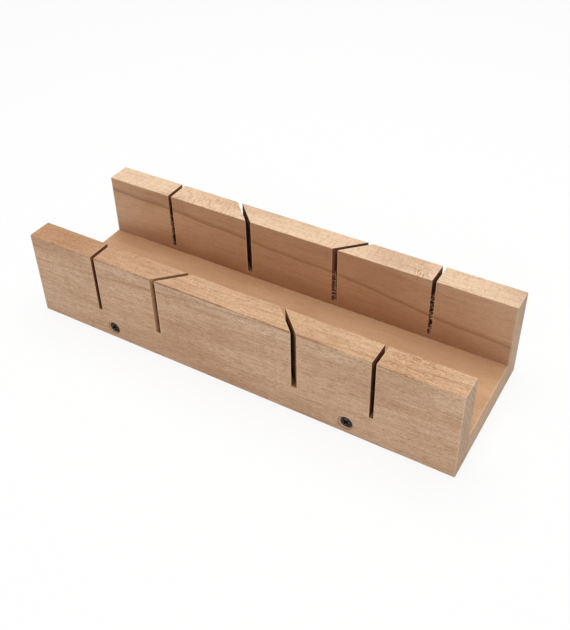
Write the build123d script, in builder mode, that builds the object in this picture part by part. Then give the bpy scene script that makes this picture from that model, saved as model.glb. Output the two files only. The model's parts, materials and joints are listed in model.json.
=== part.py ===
from build123d import *
import math
import os

# Wooden mitre box: a base board between two slotted side walls, held by four wood screws.
# Millimetres. +X runs along the box, +Y from the front wall to the rear wall, +Z is up.
# The origin is on the surface that the box stands on, under its middle.

# ----------------------------------------------------------------------------------------
# Driving dimensions
# ----------------------------------------------------------------------------------------

# boards
box_length = 300.0
trough_width = 65.0  # clear width between the walls, which is the base board's width
wall_thickness = 17.0
wall_height = 62.0  # from the surface that the box stands on
base_thickness = 17.0
arris_ease = 0.5  # sanded rounding along the walls' long edges

# saw slots
kerf_width = 2.6  # across the saw's cut
kerf_clear_of_floor = 3.0  # uncut wood left between the trough's floor and a slot's bottom
square_cut_inset = 52.0  # from each end of the box to the middle of its square cut
mitre_angle = 45.0  # between a mitre cut and a square cut
mitre_crossing_offset = -1.5  # where the two mitre cuts cross, measured from mid-length

# wood screws
screw_length = 35.0  # from the top of the head to the point
screw_head_diameter = 7.0
screw_head_land = 0.25  # straight rim above the head's cone
screw_rim_ease = 0.1  # small chamfer round the head's top
screw_shank_diameter = 2.6
screw_thread_diameter = 3.5
screw_core_diameter = 2.2
screw_pitch = 1.8
screw_thread_length = 24.0
screw_point_length = 4.0
countersink_angle = 90.0  # of the head's cone and of its seat, across the whole cone
thread_flank_angle = 18.0  # of each flank, from square to the axis
thread_crest_width = 0.16
thread_root_share = 0.8  # the ridge is rooted inside the core, at this share of its radius
recess_span = 4.3  # across the cross recess, tip to tip
recess_slot_width = 1.25
recess_depth = 2.0
recess_draft = 13.0  # the recess narrows downwards by this angle

# where the screws go
countersink_diameter = 9.0  # at the wall's outer face
left_screw_inset = 61.0  # from the left end of the box
right_screw_inset = 68.0  # from the right end of the box
screw_below_middle = 0.7  # below the middle of the base board's edge
driver_turns = {  # how far round each screw's recess came to rest, in degrees
    "front_screw_left": 22.0,
    "front_screw_right": 61.0,
    "rear_screw_left": 8.0,
    "rear_screw_right": 40.0,
}

# clearances
wall_hole_clearance = 0.25  # all round the thread where it passes through a wall
screw_seat_clearance = 0.04  # between the head's cone and its seat, across the cone
thread_bite_clearance = 0.04  # between the thread and the groove it cut in the base board

# ----------------------------------------------------------------------------------------
# Sizes and places worked out from them
# ----------------------------------------------------------------------------------------

half_length = box_length / 2
half_trough = trough_width / 2
wall_middle_y = half_trough + wall_thickness / 2
outer_face_y = half_trough + wall_thickness
box_width = 2 * outer_face_y

kerf_bottom = base_thickness + kerf_clear_of_floor
kerf_depth = wall_height - kerf_bottom
kerf_overrun = wall_thickness  # a cut runs past the walls' faces by this much
square_cut_length = box_width + 2 * kerf_overrun
mitre_cut_length = square_cut_length / math.cos(math.radians(mitre_angle))
square_cut_x = half_length - square_cut_inset
saw_cuts = (  # middle of the cut, its length and its turn about +Z from a square cut
    (-square_cut_x, square_cut_length, 0.0),
    (square_cut_x, square_cut_length, 0.0),
    (mitre_crossing_offset, mitre_cut_length, -mitre_angle),
    (mitre_crossing_offset, mitre_cut_length, mitre_angle),
)

head_radius = screw_head_diameter / 2
shank_radius = screw_shank_diameter / 2
thread_radius = screw_thread_diameter / 2
core_radius = screw_core_diameter / 2
wall_hole_radius = thread_radius + wall_hole_clearance
countersink_radius = countersink_diameter / 2
cone_slope = math.tan(math.radians(countersink_angle / 2))
seat_depth = (countersink_radius - head_radius) / cone_slope
seat_gap = screw_seat_clearance / math.sin(math.radians(countersink_angle / 2))
head_sunk = seat_depth - screw_head_land - seat_gap  # the head's top below the outer face
screw_height = base_thickness / 2 - screw_below_middle
screw_x = {
    "left": left_screw_inset - half_length,
    "right": half_length - right_screw_inset,
}
sides = {"front": -1, "rear": 1}


# ----------------------------------------------------------------------------------------
# Wood screw, made once about the origin: head's top at z = 0, point straight down
# ----------------------------------------------------------------------------------------

head_cone_bottom = -screw_head_land - (head_radius - shank_radius) / cone_slope
point_bottom = -screw_length
point_top = point_bottom + screw_point_length
thread_bottom = point_top - screw_pitch / 2
thread_top = point_bottom + screw_thread_length
shank_bottom = thread_top + screw_pitch


def threaded(outline, grow):
    """The outline turned about Z, with the thread's ridge on its core, grown by grow."""
    crest = thread_radius + grow
    root = core_radius * thread_root_share
    crest_half = thread_crest_width / 2 + grow
    root_half = crest_half + (crest - root) * math.tan(math.radians(thread_flank_angle))
    clear = head_radius + screw_pitch
    with BuildPart() as turned:
        # both turned shapes start a quarter turn behind the thread, clear of its first edge
        with BuildSketch(Plane.left):
            with BuildLine():
                Polyline(*outline, close=True)
            make_face()
        revolve(axis=Axis.Z)
        with BuildLine():
            Helix(
                pitch=screw_pitch,
                height=thread_top - thread_bottom,
                radius=thread_radius,
                center=(0, 0, thread_bottom),
            )
        with BuildSketch(Plane.XZ):
            with BuildLine():
                Polyline(
                    (root, thread_bottom - root_half),
                    (crest, thread_bottom - crest_half),
                    (crest, thread_bottom + crest_half),
                    (root, thread_bottom + root_half),
                    close=True,
                )
            make_face()
        sweep(is_frenet=True)
        # the thread dies away into the point, and again below the shank
        with BuildSketch(Plane.left):
            with BuildLine():
                Polyline(
                    (0, point_bottom - 2 * grow - thread_crest_width),
                    (crest, point_top),
                    (clear, point_top + clear),
                    (clear, thread_top - 2 * clear),
                    (shank_radius + grow, thread_top + root_half),
                    (clear, thread_top + root_half + clear),
                    (clear, clear),
                    (0, clear),
                    close=True,
                )
            make_face()
        revolve(axis=Axis.Z, mode=Mode.INTERSECT)
    return turned.part


def headed_screw():
    """A countersunk wood screw with a cross recess."""
    outline = (
        (0, 0),
        (head_radius - screw_rim_ease, 0),
        (head_radius, -screw_rim_ease),
        (head_radius, -screw_head_land),
        (shank_radius, head_cone_bottom),
        (shank_radius, shank_bottom),
        (core_radius, thread_top),
        (core_radius, point_top),
        (0, point_bottom),
    )
    with BuildPart() as headed:
        add(threaded(outline, grow=0.0))
        with BuildSketch(Plane.XY):
            Rectangle(recess_span, recess_slot_width)
            Rectangle(recess_slot_width, recess_span)
        extrude(amount=-recess_depth, taper=recess_draft, mode=Mode.SUBTRACT)
    return headed.part


def threaded_groove():
    """What a screw's shank, core, point and thread displace in the base board."""
    shank = shank_radius + thread_bite_clearance
    core = core_radius + thread_bite_clearance
    outline = (
        (0, head_cone_bottom),
        (shank, head_cone_bottom),
        (shank, shank_bottom),
        (core, thread_top),
        (core, point_top),
        (0, point_bottom - thread_bite_clearance),
    )
    return threaded(outline, grow=thread_bite_clearance)


wood_screw = headed_screw()
screw_groove = threaded_groove()


def screw_plane(side, end):
    """The plane of a screw's head top: +Z out of the wall, turned as the driver left it."""
    outward = Vector(0, sides[side], 0)
    on_face = Vector(screw_x[end], sides[side] * outer_face_y, screw_height)
    turn = math.radians(driver_turns[f"{side}_screw_{end}"])
    return Plane(
        origin=on_face - outward * head_sunk,
        x_dir=(math.cos(turn), 0, math.sin(turn)),
        z_dir=outward,
    )


screw_planes = {
    f"{side}_screw_{end}": screw_plane(side, end) for side in sides for end in screw_x
}

# ----------------------------------------------------------------------------------------
# Side walls: a board, its eased arrises, four saw cuts and two countersunk screw holes
# ----------------------------------------------------------------------------------------


def side_wall(side):
    """The wall on one side of the trough."""
    direction = sides[side]
    hole_planes = [
        Plane(origin=(x, direction * outer_face_y, screw_height), z_dir=(0, direction, 0))
        for x in screw_x.values()
    ]
    with BuildPart() as wall:
        with BuildSketch(Plane.YZ.offset(-half_length)):
            with Locations((direction * wall_middle_y, wall_height / 2)):
                Rectangle(wall_thickness, wall_height)
        extrude(amount=box_length)
        long_edges = wall.edges().filter_by(Axis.X).group_by(Axis.Z)
        outer_bottom = long_edges[0].sort_by(Axis.Y)[0 if direction < 0 else -1]
        fillet([*long_edges[-1], outer_bottom], radius=arris_ease)
        with BuildSketch(Plane.XY.offset(kerf_bottom)):
            for x, length, turn in saw_cuts:
                with Locations(Location((x, 0, 0), (0, 0, turn))):
                    Rectangle(kerf_width, length)
        extrude(amount=kerf_depth + kerf_overrun, mode=Mode.SUBTRACT)
        with Locations(*hole_planes):
            CounterSinkHole(
                radius=wall_hole_radius,
                counter_sink_radius=countersink_radius,
                depth=wall_thickness,
                counter_sink_angle=countersink_angle,
            )
    return wall


# ----------------------------------------------------------------------------------------
# Base board: the trough's floor, with the grooves that the screws' threads cut in its edges
# ----------------------------------------------------------------------------------------

with BuildPart() as base_board:
    with BuildSketch(Plane.XY):
        Rectangle(box_length, trough_width)
    extrude(amount=base_thickness)
    for place in screw_planes.values():
        with Locations(place.location):
            add(screw_groove, mode=Mode.SUBTRACT)

# ----------------------------------------------------------------------------------------
# Named pieces, each written to its own file
# ----------------------------------------------------------------------------------------

os.makedirs("parts", exist_ok=True)

base_board.part.label = "base_board"
export_step(base_board.part, "parts/base_board.step")

for side in sides:
    side_board = side_wall(side)
    side_board.part.label = f"{side}_wall"
    export_step(side_board.part, f"parts/{side}_wall.step")

for name, place in screw_planes.items():
    with BuildPart() as screw:
        with Locations(place.location):
            add(wood_screw)
    screw.part.label = name
    export_step(screw.part, f"parts/{name}.step")
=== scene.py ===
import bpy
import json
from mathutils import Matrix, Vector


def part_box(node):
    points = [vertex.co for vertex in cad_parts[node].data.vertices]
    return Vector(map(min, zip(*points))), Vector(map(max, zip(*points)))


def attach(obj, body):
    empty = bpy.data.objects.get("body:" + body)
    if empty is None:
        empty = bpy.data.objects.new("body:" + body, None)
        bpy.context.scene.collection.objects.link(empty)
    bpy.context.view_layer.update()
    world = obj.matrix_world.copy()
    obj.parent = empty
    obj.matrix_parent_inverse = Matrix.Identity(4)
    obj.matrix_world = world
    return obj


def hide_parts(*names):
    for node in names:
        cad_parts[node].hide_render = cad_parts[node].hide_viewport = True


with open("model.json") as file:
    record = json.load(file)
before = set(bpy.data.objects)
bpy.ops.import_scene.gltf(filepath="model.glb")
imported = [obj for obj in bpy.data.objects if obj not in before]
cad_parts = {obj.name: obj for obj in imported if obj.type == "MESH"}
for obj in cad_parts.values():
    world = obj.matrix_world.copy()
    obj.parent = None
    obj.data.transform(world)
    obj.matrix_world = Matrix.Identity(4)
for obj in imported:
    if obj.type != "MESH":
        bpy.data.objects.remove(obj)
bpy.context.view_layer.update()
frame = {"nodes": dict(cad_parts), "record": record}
print("pieces in the frame:", sorted(frame["nodes"]))

# %% [markdown]
# A mitre box guides a hand saw. It is a trough of three beech boards, and the saw runs in four
# slots that cross both walls: two square cuts and two at 45 degrees. The frame holds each
# board and screw as a plain solid in its right place. The boards are made again here with worn
# edges and torn saw cuts, because light shows those first, and the four screws are kept.
# Lengths on the box are written in millimetres and turned to metres with MM.

# %% Tools and units
import json
import math
import random
from types import SimpleNamespace

import bmesh
import bpy
from mathutils import Matrix, Vector, noise

MM = 0.001
mounts = {mount["name"]: mount for mount in frame["record"]["mounts"]}
scene = bpy.context.scene


def box_mm(node):
    """The lowest and highest corners of a piece in the frame, in millimetres."""
    return [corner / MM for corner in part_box(node)]


for name in sorted(frame["nodes"]):
    low, high = box_mm(name)
    print(name, "measures", [round(side, 1) for side in high - low])

# %% [markdown]
# The camera comes first, so that every later choice is judged from the same place. It stands
# to the right of the front wall and looks down, as someone at a bench would. A direction and
# a roll describe it better than three angles: to_track_quat points the camera's own -Z down
# the line of sight, and the roll turns it about that line. The lens is nearly a normal 50 mm
# one, and the shift slides the picture on the sensor without tilting it.

# %% Camera
line_of_sight = Vector((-0.41812, 0.67700, -0.60568))
camera_roll = math.radians(1.575)
camera_data = bpy.data.cameras.new("bench_camera")
camera_data.lens = 50.18
camera_data.sensor_width = 36.0
camera_data.shift_x = 0.0086
camera_data.shift_y = -0.0683
camera = bpy.data.objects.new("bench_camera", camera_data)
camera.location = (0.23610, -0.36660, 0.38587)
camera.rotation_mode = "QUATERNION"
level = line_of_sight.to_track_quat("-Z", "Y")
roll = Matrix.Rotation(camera_roll, 3, line_of_sight).to_quaternion()
camera.rotation_quaternion = roll @ level
scene.collection.objects.link(camera)
scene.camera = camera
print("camera stands at", tuple(round(value, 3) for value in camera.location))

# %% [markdown]
# Shader maths reads best as ordinary sums. This small class holds one socket of a material,
# and an expression such as 1 - mask adds the Math node that works it out. ramp is the one
# used most: it turns a distance or a noise into a mask between 0 and 1 with soft edges. Two
# short tables give the class its signs, such as + and *, and a few words, such as least.


# %% A value that sums can be made from
class Value:
    """One socket of a material, which sums and products can be made from."""

    def __init__(self, finish, socket):
        self.finish = finish
        self.socket = socket

    def maths(self, operation, *terms):
        return self.finish.add("ShaderNodeMath", {"operation": operation}, dict(enumerate(terms)))

    def ramp(self, start, end):
        """0 before start, 1 after end, and smooth in between; start may be the larger."""
        first, last = (0.0, 1.0) if start < end else (1.0, 0.0)
        sockets = {"Value": self, "From Min": min(start, end), "From Max": max(start, end)}
        sockets.update({"To Min": first, "To Max": last})
        smooth = {"interpolation_type": "SMOOTHSTEP"}
        return self.finish.add("ShaderNodeMapRange", smooth, sockets)


def sum_of(operation, swapped=False):
    """A method that puts a value, and the other one if there is one, through a Math node."""
    if swapped:
        return lambda value, other: value.maths(operation, other, value)
    return lambda value, *other: value.maths(operation, value, *other)


for name, operation in {"add": "ADD", "sub": "SUBTRACT", "mul": "MULTIPLY"}.items():
    setattr(Value, f"__{name}__", sum_of(operation))
    setattr(Value, f"__r{name}__", sum_of(operation, swapped=True))  # as in 1 - mask
words = {"least": "MINIMUM", "most": "MAXIMUM", "root": "SQRT", "angle": "ARCTAN2"}
words["part"] = "FRACT"  # what is left after the whole number
signs = {"__truediv__": "DIVIDE", "__pow__": "POWER", "__abs__": "ABSOLUTE"}
for name, operation in {**signs, **words}.items():
    setattr(Value, name, sum_of(operation))
print("beside the signs, a value knows:", ", ".join(words), "and ramp")

# %% [markdown]
# Everything else in a material comes from one method, add. It takes the kind of node, its
# settings, which are set first, and what goes into its sockets: a number, or a Value to link.
# The other methods only name the nodes used most. Colours go through Mix and places through
# Vector Math, because a Math node keeps a single number and would turn a colour grey.

# %% A finish and its nodes
MIX_FACTOR, MIX_FIRST, MIX_SECOND, MIX_RESULT = 0, 6, 7, 2  # a Mix node's colour sockets


class Finish:
    """A material, with the one way in which its nodes are made."""

    def __init__(self, name, data=None):
        self.material = data or bpy.data.materials.new(name)
        self.material.use_nodes = True
        self.tree = self.material.node_tree
        self.tree.nodes.clear()

    def add(self, kind, settings=None, sockets=None, out=0):
        node = self.tree.nodes.new(kind)
        for name, setting in (settings or {}).items():
            setattr(node, name, setting)
        for name, value in (sockets or {}).items():
            if isinstance(value, Value):
                self.tree.links.new(value.socket, node.inputs[name])
            else:
                node.inputs[name].default_value = value
        return Value(self, node.outputs[out]) if node.outputs else None

    def place(self):
        """x, y and z of a point on the piece, in millimetres."""
        spot = self.add("ShaderNodeTexCoord", out="Object")
        split = "ShaderNodeSeparateXYZ"
        return [self.add(split, {}, {0: spot}, out=axis) / MM for axis in range(3)]

    def vector(self, x, y, z):
        return self.add("ShaderNodeCombineXYZ", {}, {0: x, 1: y, 2: z})

    def distance(self, place, centre):
        sockets = {0: place, 1: centre}
        return self.add("ShaderNodeVectorMath", {"operation": "DISTANCE"}, sockets, out="Value")

    def noise(self, place, detail=2.0, roughness=0.5, scale=1.0, distortion=0.0):
        sockets = {"Vector": place, "Scale": scale, "Detail": detail}
        sockets.update({"Roughness": roughness, "Distortion": distortion})
        return self.add("ShaderNodeTexNoise", {}, sockets)

    def mix(self, factor, first, second):
        """Two colours mixed, by a factor that may be a number or a Value."""
        pair = [(*c, 1.0) if isinstance(c, tuple) else c for c in (first, second)]
        sockets = {MIX_FACTOR: factor, MIX_FIRST: pair[0], MIX_SECOND: pair[1]}
        return self.add("ShaderNodeMix", {"data_type": "RGBA"}, sockets, out=MIX_RESULT)

    def bump(self, height, distance, strength=1.0):
        sockets = {"Height": height, "Distance": distance, "Strength": strength}
        return self.add("ShaderNodeBump", {}, sockets)

    def surface(self, sockets):
        shader = self.add("ShaderNodeBsdfPrincipled", {}, sockets)
        self.add("ShaderNodeOutputMaterial", {}, {"Surface": shader})
        return self.material


def colour(red, green, blue):
    """An everyday 0 to 255 colour as the linear numbers that a shader takes."""
    parts = (channel / 255 for channel in (red, green, blue))
    return tuple(p / 12.92 if p <= 0.04045 else ((p + 0.055) / 1.055) ** 2.4 for p in parts)


print("a mid tan in shader numbers:", [round(c, 3) for c in colour(200, 160, 120)])

# %% [markdown]
# The stage is a pale floor, as in a small product studio. To the camera and to reflections it
# is mostly a white glow, so the background stays white without any more light on the wood.
# It keeps a share of its own matt shading, which is where the box's shadow shows.

# %% White floor
floor_size = 4.0
floor_glow = 0.86  # the rest is matt paper
floor_gap = 0.0002  # under the box, so that the two don't lie in one plane

mesh = bpy.data.meshes.new("floor")
half = floor_size / 2
corners = [(-half, -half, 0), (half, -half, 0), (half, half, 0), (-half, half, 0)]
mesh.from_pydata(corners, [], [(0, 1, 2, 3)])
floor = bpy.data.objects.new("floor", mesh)
floor.location.z = -floor_gap
scene.collection.objects.link(floor)


def seen_directly(finish):
    """1 for a ray from the camera, a reflection or glass, and 0 for light on the object."""
    kinds = ("Is Camera Ray", "Is Glossy Ray", "Is Transmission Ray")
    direct, glossy, through = [finish.add("ShaderNodeLightPath", out=kind) for kind in kinds]
    return direct.most(glossy).most(through)


paper = Finish("white_floor")
matt = paper.add("ShaderNodeBsdfDiffuse", {}, {"Color": (*colour(250, 250, 250), 1.0)})
glow = paper.add("ShaderNodeEmission", {}, {"Strength": 1.0})
share = seen_directly(paper) * floor_glow
mixed = paper.add("ShaderNodeMixShader", {}, {0: share, 1: matt, 2: glow})
paper.add("ShaderNodeOutputMaterial", {}, {0: mixed})
mesh.materials.append(paper.material)
print("floor:", floor_size, "m square,", len(paper.tree.nodes), "nodes in its paper")

# %% [markdown]
# The light is plain and soft. One broad lamp overhead makes the tops of the walls the palest
# faces, a weaker one fills the front, and a dim white world lifts the rest. An area lamp's
# size is what softens it: the wider it is, the slower a shadow fades at its rim.

# %% Room and lamps
room_light = 0.40
world = bpy.data.worlds.new("soft_room")
scene.world = world
room = Finish("soft_room", world)
brightness = room_light + (1 - room_light) * seen_directly(room)
sky = room.add("ShaderNodeBackground", {}, {0: (1, 1, 1, 1), 1: brightness})
room.add("ShaderNodeOutputWorld", {}, {0: sky})


def soft_lamp(name, place, aim, size, power, tint):
    """A rectangular lamp at place, turned towards aim; its size is in metres."""
    data = bpy.data.lights.new(name, "AREA")
    data.shape = "RECTANGLE"
    data.size, data.size_y = size
    data.energy = power
    data.color = tint
    lamp = bpy.data.objects.new(name, data)
    lamp.location = place
    lamp.rotation_mode = "QUATERNION"
    lamp.rotation_quaternion = (Vector(aim) - Vector(place)).to_track_quat("-Z", "Y")
    scene.collection.objects.link(lamp)
    print(name, "gives", power, "W from", size, "m")


box_middle = (0, 0, 0.03)
warm_white, cool_white = (1.0, 0.99, 0.97), (0.97, 0.985, 1.0)
soft_lamp("overhead", (-0.02, 0.16, 1.10), box_middle, (1.1, 0.9), 8.9, warm_white)
soft_lamp("front_fill", (0.35, -1.15, 0.75), box_middle, (1.0, 0.8), 3.5, cool_white)
scene.view_settings.view_transform = "Standard"

# %% [markdown]
# Four shapes below are skins over a row of rings: a board, the two tools that cut it, and a
# torn fibre. One helper joins each ring of points to the next and fills the two ends, and a
# second turns the result into a mesh with all its faces looking outwards.


# %% A skin over rings of points
def skin(bm, rings, is_round=lambda number: False):
    """Faces between the rings; is_round says which places round a ring are shaded smooth."""
    for near, far in zip(rings, rings[1:]):
        for i in range(len(near)):
            k = (i + 1) % len(near)
            face = bm.faces.new((near[i], near[k], far[k], far[i]))
            face.smooth = is_round(i)
    bm.faces.new(rings[0][::-1])
    bm.faces.new(rings[-1])


def finished_mesh(bm, name):
    bmesh.ops.recalc_face_normals(bm, faces=bm.faces)
    mesh = bpy.data.meshes.new(name)
    bm.to_mesh(mesh)
    bm.free()
    return mesh


def wander(place, size, seed):
    """Smooth noise from -1 to 1 that changes over about size, both in millimetres."""
    return noise.noise(Vector((place / size, seed * 7.31, seed * 1.7)))


print("a slow wander along a board:", [round(wander(x, 22, 3), 2) for x in range(0, 50, 10)])

# %% [markdown]
# Each board is a length of planed timber, so its section is the same from end to end but its
# corners aren't: sanding and handling round them unevenly. A board is built as a row of
# sections along X, each a rectangle with four rounded corners, and each corner's radius
# wanders a little from section to section. A bevel modifier would be quicker and would give
# every edge the same machine-made radius, which is what makes a model look like plastic.

# %% Sections along a board
section_step = 2.5  # between two sections
corner_steps = 5
end_ease = 0.35  # the sawn ends' own rounding
part_way = 0.3  # one more section lies this share of the way along it
slow_wave, slow_share = 22, 0.35  # a long wander of a corner's radius, and how strong it is
quick_wave, quick_share = 5, 0.2  # and a short one
least_radius = 0.04


def sections_along(low, high):
    """Where the sections lie, and how much of the ends' rounding each one has."""
    count = round((high.x - low.x) / section_step)
    places = [low.x + (high.x - low.x) * i / count for i in range(count + 1)]
    near = part_way * end_ease
    start = [(low.x, 1.0), (low.x + near, part_way), (low.x + end_ease, 0.0)]
    finish = [(high.x - end_ease, 0.0), (high.x - near, part_way), (high.x, 1.0)]
    return start + [(x, 0.0) for x in places[1:-1]] + finish


def section(bm, x, inset, low, high, eases, seed):
    """One rounded rectangle of points at x, drawn in by the ends' rounding times inset."""
    ring = []
    lower = [(low.y, low.z, 180), (high.y, low.z, 270)]
    upper = [(high.y, high.z, 0), (low.y, high.z, 90)]
    for number, ((y, z, turn), ease) in enumerate(zip(lower + upper, eases)):
        slow = slow_share * wander(x, slow_wave, seed + number)
        quick = quick_share * wander(x, quick_wave, seed - number)
        radius = max(ease * (1 + slow + quick), least_radius)
        shrink = inset * min(end_ease, 0.5 * ease + 0.15)
        centre_y = y + (1 if y == low.y else -1) * (radius + shrink)
        centre_z = z + (1 if z == low.z else -1) * (radius + shrink)
        for step in range(corner_steps + 1):
            angle = math.radians(turn + 90 * step / corner_steps)
            point = (x, centre_y + radius * math.cos(angle), centre_z + radius * math.sin(angle))
            ring.append(bm.verts.new(Vector(point) * MM))
    return ring


print("sections in a board:", len(sections_along(*box_mm("front_wall"))))

# %% [markdown]
# The walls' long corners were sanded round. A corner that lies against another board was only
# broken with one stroke of a plane.

# %% Boards with worn corners
wall_ease = 0.5
joint_ease = 0.28  # where a board's corner lies against its neighbour
corner_eases = {  # anticlockwise along -X, from the corner at the lowest y and z
    "front_wall": (wall_ease, joint_ease, wall_ease, wall_ease),
    "rear_wall": (joint_ease, wall_ease, wall_ease, wall_ease),
    "base_board": (joint_ease, joint_ease, joint_ease, joint_ease),
}


def board_mesh(low, high, eases, seed):
    """A board from corner low to corner high, with the radii of its four long corners."""
    bm = bmesh.new()
    places = sections_along(low, high)
    rings = [section(bm, x, inset, low, high, eases, seed) for x, inset in places]
    per_corner = corner_steps + 1
    skin(bm, rings, is_round=lambda number: number % per_corner != corner_steps)
    return finished_mesh(bm, "board")


boards = {}
for seed, (name, eases) in enumerate(corner_eases.items(), start=3):
    board = bpy.data.objects.new(name + "_worn", board_mesh(*box_mm(name), eases, seed))
    scene.collection.objects.link(board)
    boards[name] = board
    print(name, "has", len(board.data.polygons), "faces before it is cut")

# %% [markdown]
# The record says where the saw runs: each slot has a guide mount, with a place on its bottom
# and the direction of the saw's travel. Both are read from there, so the slots made here are
# the ones that the frame has. The direction is scaled so that a step of 1 along it goes 1 mm
# across the box, which makes the middle of a slot at any y a short sum.

# %% Where the saw cuts
kerf_width = 2.6
kerf_bottom = mounts["square_guide_left"]["pos_m"][2] / MM
saw_cuts = {}
for name in ("square_guide_left", "mitre_guide_left", "mitre_guide_right", "square_guide_right"):
    along = Vector(mounts[name]["axis"])
    along = along / along.y
    across = Vector((along.y, -along.x, 0)).normalized()
    start = Vector(mounts[name]["pos_m"]) / MM
    saw_cuts[name.replace("guide", "cut")] = (start - along * start.y, along, across)
for name, (middle, _, _) in saw_cuts.items():
    print(name, "crosses the middle at x =", round(middle.x, 2), "mm")

# %% [markdown]
# A saw leaves faint ridges down a slot's sides and a broken rim where its teeth leave the
# wood. A boolean with a plain slab would cut a perfect slot, so the slab itself is made
# rough: its two sides are grids, and each point is pushed in or out by noise. Close to a face
# the push is larger, in short bites, and the cut copies them as chips. The teeth come out at
# the rear wall's inner face, so the bites are deepest there.

# %% How rough a slot's side is
bites = {  # how deep the chips are on the rear wall's inner face, and below which height
    "square_cut_left": (0.50, 50.0),
    "mitre_cut_left": (0.60, 48.0),
    "mitre_cut_right": (0.06, 30.0),
    "square_cut_right": (0.75, 54.0),
}
small_bites = (0.10, 90.0)  # the same, on every other face
bite_height = 0.9
bite_reach = 0.6  # how far in from a face the bites go
bite_gain, bite_offset = 1.6, 0.12  # noise seldom nears 1, and over half the rim is bitten
fade_height = 6  # the bites grow to their full depth this far below their ceiling
tooth_ridge, ridge_push = 1.3, 0.02  # from one ridge to the next, and a ridge's height
ridge_slope = 0.35  # the ridges run slightly downhill
grain_push = 0.035
face_rim, face_rim_reach = 0.05, 0.3  # how worn the rim at a face is, and how far in
top_rim, top_rim_reach = 0.06, 0.35  # the same at the top


def fading(distance, reach):
    """1 at no distance, and in a straight line down to 0 at reach."""
    return max(0.0, 1 - max(0.0, distance) / reach)


def push_out(y, z, depth, to_top, side, seed, deepest, ceiling):
    """How far a point on a slot's side moves outwards; depth is in from the nearer face."""
    bite = noise.noise(Vector((z / bite_height, side * 3 + seed, 0.0))) + bite_offset
    bite = fading(depth, bite_reach) * max(0.0, bite) * deepest
    fade = min(1.0, max(0.0, (ceiling - z) / fade_height))
    grain = grain_push * noise.noise(Vector((z / 0.5, depth / 3, seed + side)))
    ridge = ridge_push * math.sin((z + ridge_slope * y) * 2 * math.pi / tooth_ridge)
    rim = face_rim * fading(depth, face_rim_reach)
    rim += top_rim * fading(to_top, top_rim_reach)
    return grain + ridge + rim + bite * fade * bite_gain


sample = [push_out(24.0, z, 0.1, 62.0 - z, 1, 40, 0.75, 54.0) for z in range(22, 62, 10)]
print("bites up a torn rim, in mm:", [round(push, 2) for push in sample])

# %% [markdown]
# A slab stands for the wood that one saw cut takes out of one wall. Its points lie closest
# together near the wall's faces, where the bites are.

# %% Rough slabs that cut the slots
height_step = 0.35
slab_overrun = 2  # above the wall's top
face_depths = (-1.5, -0.02, 0.12, 0.3, 0.6, 1.1, 2.5, 5, 8.5)  # rows in from a wall's face


def slab_mesh(cut, low, high, seed):
    """A rough slab through one wall, closed, with its bottom at the slot's bottom."""
    middle, along, across = saw_cuts[cut]
    halfway = low.y + (high.y - low.y) / 2
    rows = [(low.y + d, max(d, 0.0)) for d in face_depths]
    rows += [(high.y - d, max(d, 0.0)) for d in reversed(face_depths[:-1])]
    top = high.z + slab_overrun
    count = round((top - kerf_bottom) / height_step)
    bm = bmesh.new()
    rings = []
    for step in range(count + 1):
        z = kerf_bottom + (top - kerf_bottom) * step / count
        ring = []
        for side in (-1, 1):
            line = []
            for y, depth in rows:
                inner = low.y > 0 and y < halfway
                bite = bites[cut] if inner else small_bites
                push = push_out(y, z, depth, high.z - z, side, seed, *bite)
                point = middle + along * y + across * side * (kerf_width / 2 + push)
                point.z = z
                line.append(bm.verts.new(point * MM))
            ring += line if side < 0 else line[::-1]
        rings.append(ring)
    skin(bm, rings)
    return finished_mesh(bm, "slab")


slab_height = box_mm("front_wall")[1].z + slab_overrun - kerf_bottom
print("a slab has", round(slab_height / height_step) + 1, "rings of points")

# %% [markdown]
# A screw sits in a hole with a cone at its mouth. The cutter leaves that cone's rim a little
# uneven, so the tool made here is a turned profile whose rim wobbles. Its stem goes on through
# the wall as the clearance hole and into the base board's edge, as wide there as the thread,
# so no wood is left inside a screw.

# %% A screw hole's profile
mouth_radius = {"left": 4.55, "right": 4.8}  # the right-hand holes were cut deeper
wall_hole_radius = 2.0
pilot_radius = 1.8
head_depth = 0.7
head_rim = 0.36  # a screw head's straight rim, and some room
screws = [name for name in frame["nodes"] if "screw" in name]


def hole_profile(screw, wall_low, wall_high):
    """Place along the screw, radius and wobble of each step in its hole, from the mouth in."""
    low, high = box_mm(screw)
    out = -1 if low.y < 0 else 1
    face, inner, point = (wall_low.y, wall_high.y, high.y)
    if out > 0:
        face, inner, point = (wall_high.y, wall_low.y, low.y)
    mouth = mouth_radius[screw.split("_")[-1]]
    head_radius = (high.z - low.z) / 2
    cone_end = head_depth + head_rim + head_radius - wall_hole_radius
    return [
        (face + out * 1.0, mouth + 0.6, 0.0),
        (face + out * 0.02, mouth + 0.02, 0.13),
        (face - out * 0.30, mouth - 0.20, 0.05),
        (face - out * head_depth, head_radius + 0.35, 0.03),
        (face - out * (head_depth + 0.3), head_radius + 0.06, 0.0),
        (face - out * cone_end, wall_hole_radius, 0.0),
        (inner, wall_hole_radius, 0.0),
        (inner - out * 0.01, pilot_radius, 0.0),
        (point - out * 0.3, pilot_radius, 0.0),
    ]


for y, radius, _ in hole_profile("front_screw_right", *box_mm("front_wall")):
    print("hole radius", round(radius, 2), "at y =", round(y, 2))

# %% [markdown]
# The tool is that profile turned round the screw's own line. Its wobble is noise read along a
# circle, so it joins up with itself and the rim has no seam.

# %% Turned tool that cuts a screw's hole
hole_steps = 64
dents = 2.2  # the circle's radius in the noise: a larger one puts more dents round a rim


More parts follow.
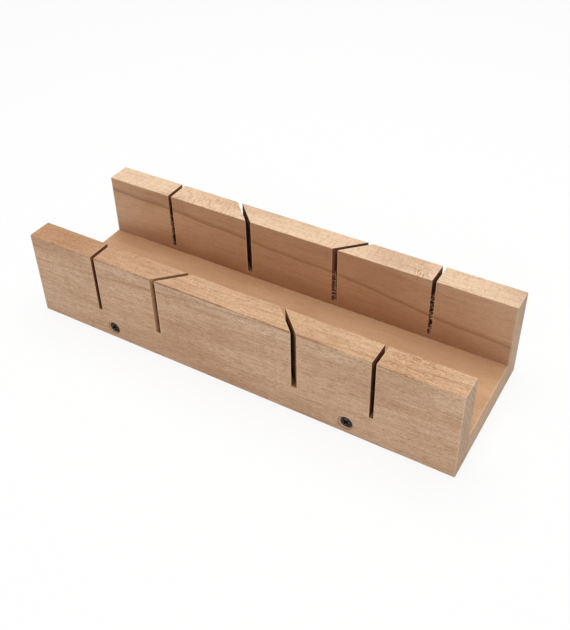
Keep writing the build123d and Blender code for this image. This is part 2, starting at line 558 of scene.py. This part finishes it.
def hole_mesh(screw, wall_low, wall_high, seed):
    low, high = box_mm(screw)
    x, z = (low.x + high.x) / 2, (low.z + high.z) / 2
    bm = bmesh.new()
    rings = []
    for y, radius, wobble in hole_profile(screw, wall_low, wall_high):
        ring = []
        for step in range(hole_steps):
            angle = 2 * math.pi * step / hole_steps
            at = Vector((math.cos(angle) * dents, math.sin(angle) * dents, seed * 3.1))
            r = radius + wobble * (noise.noise(at) + 0.6 * noise.noise(at * 3))
            point = Vector((x + r * math.cos(angle), y, z + r * math.sin(angle)))
            ring.append(bm.verts.new(point * MM))
        rings.append(ring)
    skin(bm, rings)
    return finished_mesh(bm, "hole")


print("screw holes to cut:", screws)

# %% [markdown]
# Now the cutting. A Boolean modifier takes one shape out of another, and reading the board
# back through the dependency graph gives the cut mesh, so no modifier has to be applied by
# hand. The tools take their turns, because the exact solver is surest with one closed shape
# at a time. Where a rough slab crosses a flat face, some of the rim's points lie almost on one
# line. Cut into triangles, the face and the slot's side both get the same thin sliver there,
# back to back. The last step finds such twins by their corners and takes both out, which
# leaves the surface closed.


# %% Cut the slots and holes
def take_away(board, tools):
    """Take the tools' shapes out of the board's mesh."""
    for number, tool_mesh in enumerate(tools):
        tool = bpy.data.objects.new("tool", tool_mesh)
        scene.collection.objects.link(tool)
        cutter = board.modifiers.new(f"cut_{number}", "BOOLEAN")
        cutter.operation = "DIFFERENCE"
        cutter.solver = "EXACT"
        cutter.object = tool
        seen = board.evaluated_get(bpy.context.evaluated_depsgraph_get())
        cut = bpy.data.meshes.new_from_object(seen)
        board.modifiers.remove(cutter)
        board.data = cut
        bpy.data.objects.remove(tool)
    board.data.name = board.name


def drop_twins(board):
    """Turn the board's faces into triangles, and take out those that lie back to back."""
    bm = bmesh.new()
    bm.from_mesh(board.data)
    bmesh.ops.triangulate(bm, faces=bm.faces)
    by_corners = {}
    for face in bm.faces:
        corners = frozenset(corner.index for corner in face.verts)
        by_corners.setdefault(corners, []).append(face)
    twins = [face for same in by_corners.values() if len(same) > 1 for face in same]
    bmesh.ops.delete(bm, geom=twins, context="FACES")
    bm.to_mesh(board.data)
    bm.free()
    return len(twins)


for seed, (name, board) in enumerate(boards.items()):
    low, high = box_mm(name)
    tools = []
    if "wall" in name:
        tools += [slab_mesh(cut, low, high, seed * 10 + i) for i, cut in enumerate(saw_cuts)]
    for number, screw in enumerate(screws):
        side = screw.split("_")[0]
        if name.startswith(side) or name == "base_board":
            tools.append(hole_mesh(screw, *box_mm(side + "_wall"), number))
    take_away(board, tools)
    print(name, "lost", drop_twins(board), "twin slivers")
    print(name, "has", len(board.data.polygons), "triangles after", len(tools), "cuts")

# %% [markdown]
# Beech is pale and pinkish, with a close even grain. Three things make its figure: growth
# rings, which are shells round the middle of the tree; fibres, which run along the board; and
# rays, thin plates that stand on edge from the middle outwards and show as short brown
# dashes on one face and as wide flecks on the next. An image can't wrap round a board's
# corner, so the wood is made as a solid: every pattern is worked out from where a point lies
# in the tree, and each face of the board then shows the right cut through it by itself.
# This first cell finds that place: the distance from the tree's middle and the way round it.


# %% Beech: where a point lies in the tree
bow_from, bow_to = 105, 20  # a bowed ring rises between these distances from mid-length
dip_from, dip_to, dip_share = 80, 140, 0.65  # and dips again towards the right-hand end


def place_in_tree(wood, tree, streak, seed):
    """x, y and z, radius from the tree's middle, arc round it, and its seed, all by name."""
    x, y, z = wood.place()
    (pith_y, pith_z), (lean_y, lean_z) = tree["middle"], tree["lean"]
    drifting = wood.vector(x / 150 + seed, y / 60, z / 60)
    drift_y = (wood.noise(drifting, 1.0) - 0.5) * tree["drift"]
    drift_z = (wood.noise(drifting, 1.0, scale=1.31) - 0.5) * tree["drift"]
    bow = abs(x).ramp(bow_from, bow_to) - dip_share * x.ramp(dip_from, dip_to)
    away_y = y - pith_y - x * lean_y + drift_y
    away_z = z - pith_z - x * lean_z + drift_z - bow * streak["bow"]
    radius = (away_y * away_y + away_z * away_z).root()
    arc = away_z.angle(away_y) * (math.hypot(pith_y, pith_z) + 20)
    return SimpleNamespace(x=x, y=y, z=z, radius=radius, arc=arc, seed=seed)


print("a ring that bows lies highest within", bow_to, "mm of mid-length")

# %% [markdown]
# A growth ring darkens slowly through the summer and stops at once in the autumn, so it is
# the fraction of radius over ring width, raised to a power and cut off at its end. Fibres are
# noise stretched along the board, at three sizes. Rays are noise stretched along the radius
# and squeezed along the arc, with a little distortion to keep them from lining up in a grid.
# Each pattern is only a mask here, and gets its colour in a later cell.


# %% Beech: rings, fibres and rays
def rings_of(wood, at, ring_width):
    """The slow bands, the late wood of each year, and how wavy the rings are."""
    wobble = wood.noise(wood.vector(at.x / 70, at.radius / 12, at.seed * 2.7), 2.0)
    ring = at.radius / ring_width + wobble * 0.8
    late = ring.part() ** 4 * (1 - ring.part().ramp(0.94, 1.0))
    years = wood.vector(at.radius / (ring_width * 1.7), at.seed, at.x / 400)
    year = wood.noise(years, 1.0).ramp(0.35, 0.62)
    bands = wood.noise(wood.vector(at.x / 180, at.radius / 6.5, at.arc / 90 + at.seed), 3.0, 0.55)
    return SimpleNamespace(wobble=wobble, late=late, year=year, bands=bands)


def fibres_of(wood, at):
    """Fibres at three sizes, and the slow drift of colour down a board."""
    x, y, z, seed = at.x, at.y, at.z, at.seed
    return SimpleNamespace(
        long=wood.noise(wood.vector(x / 34, y / 1.3 + seed, z / 1.3), 2.0, 0.5),
        coarse=wood.noise(wood.vector(x / 7.5, y / 0.5 + seed, z / 0.5), 3.0, 0.6),
        fine=wood.noise(wood.vector(x / 2.4, y / 0.26, z / 0.26 + seed), 2.0, 0.6),
        cloud=wood.noise(wood.vector(x / 46 + seed, y / 20, z / 20), 3.0, 0.5),
    )


def rays_of(wood, at):
    """Rays are thin across the rings, short along the board and long outwards."""
    large = wood.vector(at.x / 1.3, at.arc / 0.5, at.radius / 7 + at.seed)
    small = wood.vector(at.x / 0.48, at.arc / 0.3 + at.seed, at.radius / 3.6)
    ray = wood.noise(large, 1.0, 0.4, distortion=0.7)
    speck = wood.noise(small, 1.0, 0.4, distortion=0.7).ramp(0.54, 0.68)
    return SimpleNamespace(dash=ray.ramp(0.56, 0.70), glint=ray.ramp(0.44, 0.30), speck=speck)


print("patterns in beech:", [make.__name__ for make in (rings_of, fibres_of, rays_of)])

# %% [markdown]
# The colours are laid over each other as a polisher would lay coats. First come the two tones
# of the bands, then the slow changes across a board, then the sawn ends, whose open pores make
# them greyer. The rings, fibres and rays lie over all of these. One of the rear wall's years
# is much darker than the rest, and shows as a long streak on its inner face.


# %% Beech: the coats of colour
def toned(wood, body, at, cloud, tints):
    """The tone changes slowly along each tint's direction, between its two distances."""
    for (out_x, out_y, out_z), start, end, strength, tone in tints:
        blur = min(5.0, abs(end - start) * 0.8)
        reach = at.x * out_x + at.y * out_y + at.z * out_z + (cloud - 0.5) * blur
        body = wood.mix(reach.ramp(start, end) * strength, body, tone)
    return body


def end_grain(wood, body, at, late):
    """The sawn ends: the colour with open pores in it, how much of an end it is, and pores."""
    facing = wood.add("ShaderNodeTexCoord", out="Normal")
    end = abs(wood.add("ShaderNodeSeparateXYZ", {}, {0: facing}, out=0)).ramp(0.75, 0.95)
    pores = wood.noise(wood.vector(at.x / 3, at.y / 0.45, at.z / 0.45), 3.0, 0.7)
    pores = pores.ramp(0.48, 0.66)
    tone = wood.mix(pores * 0.7, colour(219, 196, 172), colour(168, 135, 108))
    body = wood.mix(end * 0.7, body, tone)
    body = wood.mix(end * late * 0.30, body, colour(140, 106, 78))
    return body, end, pores


def grained(wood, body, at, looks, rings, fibres, rays):
    """Rings, then fibres, then rays, each over the last."""
    pale, _, dark, ray_tone = looks["tones"]
    streak, fibre, ray = looks["streak"], looks["fibres"], looks["rays"]
    within = at.radius + (rings.wobble - 0.5) * 1.2
    middle, breadth = streak["at"], streak["breadth"]
    line = within.ramp(middle - breadth, middle) * within.ramp(middle + breadth * 0.25, middle)
    body = wood.mix(line * streak["strength"], body, dark)
    body = wood.mix(rings.late * rings.year * looks["rings"], body, dark)
    body = wood.mix(fibres.cloud.ramp(0.45, 0.72) * 0.30, body, dark)
    body = wood.mix(fibres.long.ramp(0.48, 0.72) * 0.24 * fibre, body, dark)
    body = wood.mix(fibres.coarse.ramp(0.46, 0.70) * 0.36 * fibre, body, dark)
    body = wood.mix(fibres.fine.ramp(0.40, 0.70) * 0.26 * fibre, body, dark)
    body = wood.mix(rays.dash * 0.30 * ray, body, ray_tone)
    body = wood.mix(rays.speck * 0.24 * ray, body, ray_tone)
    return wood.mix(rays.glint * 0.25, body, pale)


print("coats of colour:", [coat.__name__ for coat in (toned, end_grain, grained)])

# %% [markdown]
# A used box has marks of its own. On top of a wall the grain dips in places, and dark flecks
# crowd together there. Just inside the long corners the wood is darker, from hand dirt and a
# painted shade at a wall's foot, and the tips at the ends get a painted highlight. The saw's
# teeth break the fibres at a slot's rim, which makes them paler. At the mouth of a screw hole a
# dark ring stands for bruised wood and painted shade, and a painted shadow lies over its upper
# right side. Each mark is a mask made from a distance: to a point, to a corner, to the nearest
# slot or to a hole's middle.


# %% Beech: dips, corners and slot rims
def dipped(wood, body, at, high, dips):
    """Patches on the top face where the grain dips, and dark flecks crowd together."""
    top = at.z.ramp(high.z - 1.2, high.z - 0.3)
    for place, spread, (fleck_x, fleck_y), swirl, strength, tone in dips:
        gap = wood.distance(wood.vector(at.x, at.y, at.z), place)
        spots = wood.vector(at.x / fleck_x, at.y / fleck_y, at.seed)
        flecks = wood.noise(spots, 2.0, 0.6, distortion=swirl).ramp(0.5, 0.62)
        amount = gap.ramp(spread, spread * 0.3) * flecks * top
        body = wood.mix(amount * strength, body, tone)
    return body


def corner_dirt_and_painted_light(wood, body, at, low, high, long_fibres, end, dirt_and_shade):
    """Hand dirt and painted shade inside the long corners, and a painted highlight on the tips.
    """
    edge_y = (high.y - low.y) / 2 - abs(at.y - (low.y + high.y) / 2)
    edge_z = (high.z - low.z) / 2 - abs(at.z - (low.z + high.z) / 2)
    corner = edge_y.most(edge_z * 0.5).ramp(0.55, 0.3)
    held = abs(at.x - 6).ramp(112, 98)
    # Hand dirt, and painted shade along the foot of a wall, darken the wood inside the corners.
    dirt_and_painted_shade = corner * long_fibres.ramp(0.36, 0.58) * held * dirt_and_shade
    body = wood.mix(dirt_and_painted_shade, body, colour(128, 90, 62))
    # A painted highlight on the long faces' tips, next to the board's ends.
    painted_tip_highlight = (high.x - abs(at.x)).ramp(1.0, 0.25)
    return wood.mix(painted_tip_highlight * (1 - end) * 0.4, body, colour(226, 206, 184))


def frayed(wood, body, at, coarse_fibres, strength):
    """Fibres broken by the saw's teeth are paler than the planed face round them."""
    away = None
    for middle, _, across in saw_cuts.values():
        sideways = (at.x - middle.x) * across.x + at.y * across.y
        gap = abs(sideways) - kerf_width / 2
        away = gap if away is None else away.least(gap)
    rim = away.ramp(0.7, 0.1) * (at.z - kerf_bottom).ramp(-0.6, 0.0)
    return wood.mix(rim * strength * coarse_fibres.ramp(0.25, 0.5), body, colour(236, 206, 172))


print("marks of use:", [mark.__name__ for mark in (dipped, corner_dirt_and_painted_light, frayed)])

# %% [markdown]
# The frame's screws say where the holes are, so nothing has to be measured twice.


# %% Beech: round the screw holes
def holes_in(board):
    """Middle x and z, and mouth radius, of each screw hole in a wall, in millimetres."""
    found = []
    for name in screws:
        side, _, end = name.split("_")
        if board.startswith(side):
            low, high = box_mm(name)
            found.append(((low.x + high.x) / 2, (low.z + high.z) / 2, mouth_radius[end]))
    return found


def bruised_and_shaded(wood, body, at, board):
    """A dark ring of bruised wood and painted shade at each mouth, and a painted shadow up right.
    """
    flat = wood.vector(at.x, 0.0, at.z)
    for x, z, mouth in holes_in(board):
        gap = wood.distance(flat, (x, 0.0, z))
        # A ring at the mouth: wood bruised by the cutter, and painted shade at the rim.
        bruise_and_shade = gap.ramp(mouth - 0.5, mouth - 0.05) * gap.ramp(mouth + 0.35, mouth)
        body = wood.mix(bruise_and_shade * 0.6, body, colour(128, 78, 46))
        # A painted shadow over the hole's upper right, further off centre in the wider right-hand
        # mouths.
        shadow_offset = mouth - 4.15
        painted_shadow = wood.distance(flat, (x + shadow_offset * 0.85, 0.0, z + shadow_offset * 0.6))
        body = wood.mix(painted_shadow.ramp(4.3, 3.9) * 0.9, body, colour(50, 34, 24))
    return body


for x, z, mouth in holes_in("front_wall"):
    print("hole at x =", round(x, 1), "z =", round(z, 1), "with a mouth of", mouth * 2, "mm")

# %% [markdown]
# With the parts named, the finish is short. Roughness follows the fibres, and the bump is
# their relief: coarse fibres stand up, rays and pores sink. It stays very low, because planed
# beech feels smooth and only catches the light at a shallow angle.


# %% Beech, put together
def beech(board, looks, seed):
    wood = Finish(board + "_beech")
    low, high = box_mm(board)
    at = place_in_tree(wood, looks["tree"], looks["streak"], seed)
    rings = rings_of(wood, at, looks["tree"]["ring_width"])
    fibres = fibres_of(wood, at)
    rays = rays_of(wood, at)
    pale, warm, _, _ = looks["tones"]
    body = wood.mix(rings.bands.ramp(0.36, 0.66), pale, warm)
    body = toned(wood, body, at, fibres.cloud, looks["tints"])
    body, end, pores = end_grain(wood, body, at, rings.late)
    body = grained(wood, body, at, looks, rings, fibres, rays)
    body = dipped(wood, body, at, high, looks["dips"])
    body = corner_dirt_and_painted_light(wood, body, at, low, high, fibres.long, end, looks["dirt_and_shade"])
    body = frayed(wood, body, at, fibres.coarse, looks["fraying"])
    body = bruised_and_shaded(wood, body, at, board)
    scratch = wood.noise(wood.vector(at.x / 14, at.y / 0.12, at.z / 0.12), 2.0, 0.7)
    relief = fibres.coarse * 0.5 + scratch * 0.3 - rays.dash * 0.35
    relief = relief - rings.late * 0.2 - pores * end * 0.8
    sockets = {"Base Color": body, "Specular IOR Level": 0.32}
    sockets["Roughness"] = 0.56 + 0.16 * fibres.coarse + 0.10 * end - 0.10 * rays.dash
    sockets["Normal"] = wood.bump(relief, 0.00012, 0.55)
    made = wood.surface(sockets)
    print(made.name, "has", len(wood.tree.nodes), "nodes")
    return made


print("boards that wait for their finish:", list(boards))

# %% [markdown]
# Each board came from its own tree, and its looks are a list of plain numbers. tree says
# where the tree's middle lies in y and z, how it leans along the board, how far it wanders and
# how wide a year is. streak is the dark year, by its distance from the middle. rings, fibres
# and rays say how strongly each shows. A tint is a direction, the distances where it starts
# and ends, how much, and its tone. A dip is a place, a size, the flecks' size, swirl, strength
# and tone. The front wall was cut from the side of its tree, so its face shows short dashes.
# Its top is warmer towards the right.

# %% The front wall's looks
board_looks = {}
board_looks["front_wall"] = {
    "tree": {"middle": (-150.0, -40.0), "lean": (0.02, 0.07), "drift": 7.0, "ring_width": 3.1},
    "streak": {"at": 141.0, "breadth": 1.8, "strength": 0.30, "bow": 0.0},
    "tones": [
        colour(228, 193, 161),  # pale wood
        colour(214, 175, 141),  # warm wood
        colour(158, 110, 76),  # late wood and fibres
        colour(140, 92, 60),  # rays
    ],
    "rings": 0.30,
    "fibres": 1.60,
    "rays": 1.5,
    "tints": [
        ((0.015, 0.0, 1.0), 52.5, 55.0, 0.60, colour(236, 206, 176)),  # pale under the top
        ((0.0, 0.0, 1.0), 61.4, 62.0, 0.60, colour(214, 170, 126)),  # the top itself
        ((0.10, 0.0, 1.0), 54.0, 92.0, 0.75, colour(240, 204, 160)),  # warmer to the right
        ((-0.12, 0.0, 1.0), 63.0, 80.0, 0.55, colour(172, 121, 76)),  # browner to the left
    ],
    "dips": [((118.0, -40.0, 62.0), 26.0, (6.0, 1.2), 2.2, 0.85, colour(158, 106, 66))],
    # how strong the hand dirt and painted shade inside the corners are
    "dirt_and_shade": 0.60,
    "fraying": 0.4,
}
print("the front wall has", len(board_looks["front_wall"]["tints"]), "changes of tone")

# %% [markdown]
# The rear wall is paler. Its rings run nearly level along the inner face, where the one dark
# year shows, and its top has a tight patch of flecks by the right-hand slot.

# %% The rear wall's looks
board_looks["rear_wall"] = {
    "tree": {"middle": (152.0, 62.0), "lean": (0.0, -0.057), "drift": 1.2, "ring_width": 3.7},
    "streak": {"at": 121.2, "breadth": 0.62, "strength": 0.55, "bow": 4.0},
    "tones": [
        colour(212, 172, 136),
        colour(202, 158, 122),
        colour(146, 98, 66),
        colour(164, 112, 70),
    ],
    "rings": 0.10,
    "fibres": 0.85,
    "rays": 0.9,
    "tints": [
        ((-1.0, 0.0, 0.0), 30.0, 150.0, 0.85, colour(236, 202, 166)),  # painted light: paler towards the left end, as if from the trough's open end
        ((1.0, 0.0, 0.0), 60.0, 150.0, 0.40, colour(226, 194, 162)),  # and to the right
        ((0.0, -2.4, -1.0), -116.0, -94.0, 0.45, colour(146, 90, 50)),  # painted shade at its inner face's foot, by the floor
        ((-1.0, 0.0, 2.5), 190.0, 320.0, 0.50, colour(192, 144, 102)),  # browner upper left
        ((0.0, 0.0, 1.0), 61.2, 62.0, 0.85, colour(246, 216, 184)),  # the pale top
    ],
    "dips": [
        ((88.0, 38.0, 62.0), 8.5, (0.9, 4.0), 0.4, 0.75, colour(150, 102, 66)),
        ((-66.0, 40.0, 62.0), 40.0, (0.8, 6.0), 0.5, 0.60, colour(184, 128, 82)),
    ],
    "dirt_and_shade": 0.12,
    "fraying": 0.5,
}
print("the rear wall's dark year lies", board_looks["rear_wall"]["streak"]["at"], "mm out")

# %% [markdown]
# The base board shows little more than its top, so its looks are quiet and short.

# %% The base board's looks
board_looks["base_board"] = {
    "tree": {"middle": (12.0, -90.0), "lean": (0.01, 0.02), "drift": 7.0, "ring_width": 3.0},
    "streak": {"at": 100.0, "breadth": 1.0, "strength": 0.1, "bow": 0.0},
    "tones": [
        colour(216, 176, 137),
        colour(204, 160, 122),
        colour(172, 122, 82),
        colour(160, 108, 72),
    ],
    "rings": 0.22,
    "fibres": 0.7,
    "rays": 0.6,
    "tints": [((0.0, 1.0, 0.0), 20.0, 60.0, 0.2, colour(226, 184, 142))],
    "dips": [],
    "dirt_and_shade": 0.3,
    "fraying": 0.0,
}
print("boards with looks:", list(board_looks))

# %% [markdown]
# The sides of a slot are wood too, but the saw's teeth have rubbed and scorched them. A mask of
# depth darkens them: light at the rim and dark brown two millimetres in, or seven down from the
# top. It stands for scorch and also for painted shade deep in the slot. The square cuts' rims are
# darker than the mitres', a painted shade, and a little pale sawdust lies along each slot's
# bottom.


# %% Scorched sides of the slots, with painted shade
def sawn(name):
    wood = Finish(name)
    x, y, z = wood.place()
    patch = wood.noise(wood.vector(x / 7, y / 7, z / 9), 3.0, 0.55)
    ridge = wood.noise(wood.vector(x / 0.8, y / 3.5, z / 0.35), 2.0, 0.6)
    low, high = box_mm("rear_wall")
    depth = (high.y - low.y) / 2 - abs(abs(y) - (low.y + high.y) / 2)
    # Saw scorch and painted shade: darker deeper into the slot from either face and from the top.
    scorch_and_shade = depth.ramp(0.2, 1.9).least((high.z - z).ramp(0.3, 7.0))
    scorch_and_shade = scorch_and_shade * (0.74 + 0.26 * patch.ramp(0.35, 0.6))
    # Painted shade: the square cuts' rims get the darker tone, as less light gets into them.
    painted_square_shade = abs(x).ramp(70, 80)
    mitre_rim = wood.mix(y.ramp(-10, 10), colour(184, 136, 96), colour(130, 90, 64))
    rim = wood.mix(painted_square_shade, mitre_rim, colour(150, 98, 66))
    body = wood.mix(scorch_and_shade, rim, colour(78, 42, 24))
    sawdust = (z - kerf_bottom).ramp(0.6, 0.1)
    body = wood.mix(sawdust * 0.6, body, colour(186, 138, 98))
    body = wood.mix(ridge.ramp(0.45, 0.7) * 0.40, body, colour(84, 52, 32))
    sockets = {"Base Color": body, "Roughness": 0.72 + 0.15 * ridge, "Specular IOR Level": 0.2}
    sockets["Normal"] = wood.bump(ridge, 0.0003, 0.7)
    return wood.surface(sockets)


scorched_and_shaded = sawn("scorched_and_shaded_beech")
print("scorched beech has", len(scorched_and_shaded.node_tree.nodes), "nodes")

# %% [markdown]
# A board now gets both materials, and each face has to choose. A face belongs to a slot when
# its middle lies inside the board, within a slot's width, and it looks across the slot or
# lies on its bottom. The piece then takes its node's place in the frame: it rides with the
# root body, and the plain solid it replaces is hidden.


# %% Finish the boards
face_skin = 0.01  # a face nearer than this to the board's outside isn't in a slot
deepest_chip = 1.0  # the slot's sides lie no further out than this
floor_slack = 0.2  # how far from its height a slot's bottom may lie


def in_a_cut(centre, normal, low, high):
    """True for a face on a slot's side or bottom; every length is in millimetres."""
    inside = low.y + face_skin < centre.y < high.y - face_skin and centre.z < high.z - face_skin
    level = normal.z > 0.9 and abs(centre.z - kerf_bottom) < floor_slack
    for middle, _, across in saw_cuts.values():
        away = abs((centre - middle).dot(across)) - kerf_width / 2
        if inside and away < deepest_chip and abs(normal.dot(across)) > 0.75:
            return True
        if level and away < 0.1:
            return True
    return False


for seed, (name, board) in enumerate(boards.items(), start=1):
    board.data.materials.clear()
    board.data.materials.append(beech(name, board_looks[name], seed))
    board.data.materials.append(scorched_and_shaded)
    low, high = box_mm(name)
    count = 0
    for face in board.data.polygons:
        cut = "wall" in name and in_a_cut(face.center / MM, face.normal, low, high)
        face.material_index = int(cut)
        count += cut
    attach(board, "root")
    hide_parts(name)
    print(name, "has", count, "scorched faces")

# %% [markdown]
# Where the teeth come out of the rear wall, fibres that weren't cut cleanly hang over the
# slot. Each is a thin wedge that starts past the slot's side, narrows to a point and curls a
# little out of the wall. They are made straight into one mesh from their corner points. A
# hair system could do this too, but its strands are round, and torn wood is flat.
# In a square cut every fibre is rooted in the wood. Across a mitre cut, a step to one side is
# also a step forwards, so 54 of the 66 fibres there lie in front of the wall, up to 1.4 mm
# from it, and aren't rooted in anything.

# %% One torn fibre
fibre_sections = 4
root_depth = 0.35  # how far past the slot's side a fibre starts
root_places = (0.12, 0.7)  # behind the wall's inner face, before the step to the side
fibre_widths = (0.22, 0.75)
fibre_thicknesses = (0.10, 0.22)
curls, droops = (-0.15, 0.55), (-0.35, 0.25)  # as shares of its length
shortest_share = 0.25  # of the longest fibre
tip_share = 0.15  # of its width, at the point
push_from = 0.4  # a root further than this in front of the wall pushes its fibre on
rear_low, _ = box_mm("rear_wall")


def torn_fibre(bm, cut, z, side, longest, chance):
    """A flat wedge that hangs over a slot from one of its sides, at height z."""
    middle, along, across = saw_cuts[cut]
    share = shortest_share + (1 - shortest_share) * chance.random() ** 1.6
    length = longest * share
    wide = chance.uniform(*fibre_widths)
    thick = chance.uniform(*fibre_thicknesses)
    curl = chance.uniform(*curls) * length
    droop = chance.uniform(*droops) * length
    root = middle + along * (rear_low.y + chance.uniform(*root_places))
    root = root + across * side * (kerf_width / 2 + root_depth)
    push = rear_low.y - root.y - push_from
    rings = []
    for number in range(fibre_sections + 1):
        t = number / fibre_sections
        place = root - across * side * (length + root_depth) * t
        place.y -= max(curl * t * t, push) if curl > 0 else curl * t
        place.z = z + droop * t * t
        taper = 1 - (1 - tip_share) * t
        w, h = thick * taper / 2, wide * taper / 2
        corners = ((-w, -h), (w, -h), (w, h), (-w, h))
        rings.append([bm.verts.new((place + Vector((0, dy, dz))) * MM) for dy, dz in corners])
    skin(bm, rings)


print("a fibre has", fibre_sections, "sections, from", root_depth, "mm past the slot's side")

# %% [markdown]
# The fibres crowd towards a slot's bottom, and most hang from its right-hand side. A fixed
# seed scatters them the same way every time.

# %% Torn fibres in the rear wall's slots
torn = {  # lowest and highest place, how many, longest, and the share that hangs from the left
    "square_cut_left": (21.0, 47.0, 30, 2.4, 0.5),
    "mitre_cut_left": (20.5, 44.0, 62, 2.7, 0.25),
    "mitre_cut_right": (20.2, 21.6, 4, 1.2, 0.4),
    "square_cut_right": (20.5, 55.0, 66, 2.2, 0.30),
}
chance = random.Random(11)
bm = bmesh.new()
for cut, (lowest, highest, count, longest, from_left) in torn.items():
    for _ in range(count):
        side = -1 if chance.random() < from_left else 1
        z = lowest + (highest - lowest) * chance.random() ** 1.25
        torn_fibre(bm, cut, z, side, longest, chance)
    print(cut, "has", count, "torn fibres")
fibres = bpy.data.objects.new("rear_wall_torn_fibres", finished_mesh(bm, "torn_fibres"))
scene.collection.objects.link(fibres)
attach(fibres, "root")

# %% [markdown]
# Wood inside a tear has seen no light or dirt, so it is paler than the faces round it. High
# roughness takes away its shine.

# %% Fresh torn beech
fresh = Finish("fresh_torn_beech")
x, y, z = fresh.place()
mottle = fresh.noise(fresh.vector(x, y, z / 0.4), 2.0, 0.6)
tone = fresh.mix(mottle.ramp(0.4, 0.6), colour(236, 204, 168), colour(176, 130, 94))
sockets = {"Base Color": tone, "Roughness": 0.8, "Normal": fresh.bump(mottle, 0.0001, 0.6)}
fibres.data.materials.append(fresh.surface(sockets))
print("torn fibres have", len(fibres.data.polygons), "faces")

# %% [markdown]
# The screws are hardened steel with a thin dark phosphate coat. It is nearly black, slightly
# uneven, and rubbed to bare metal in places, where the driver slipped. The frame's own screws
# have the right thread and recess already, so only their material changes.


# %% Dark steel screws
def dark_steel():
    steel = Finish("dark_phosphate_steel")
    spot = steel.vector(*steel.place())
    grain = steel.noise(spot, 3.0, 0.6, scale=2.6)
    rub = steel.noise(spot, 2.0, 0.5, scale=0.9).ramp(0.52, 0.7)
    body = steel.mix(grain.ramp(0.35, 0.65), colour(28, 24, 22), colour(60, 54, 48))
    body = steel.mix(rub * 0.6, body, colour(150, 140, 126))
    sockets = {"Base Color": body, "Metallic": 0.90 + 0.1 * rub}
    sockets["Roughness"] = 0.52 - 0.2 * rub + 0.1 * grain
    sockets["Normal"] = steel.bump(grain, 0.00004, 0.6)
    return steel.surface(sockets)


screw_finish = dark_steel()
for name in screws:
    for place in frame["nodes"][name].material_slots:
        place.material = screw_finish
print("screws finished:", len(screws))
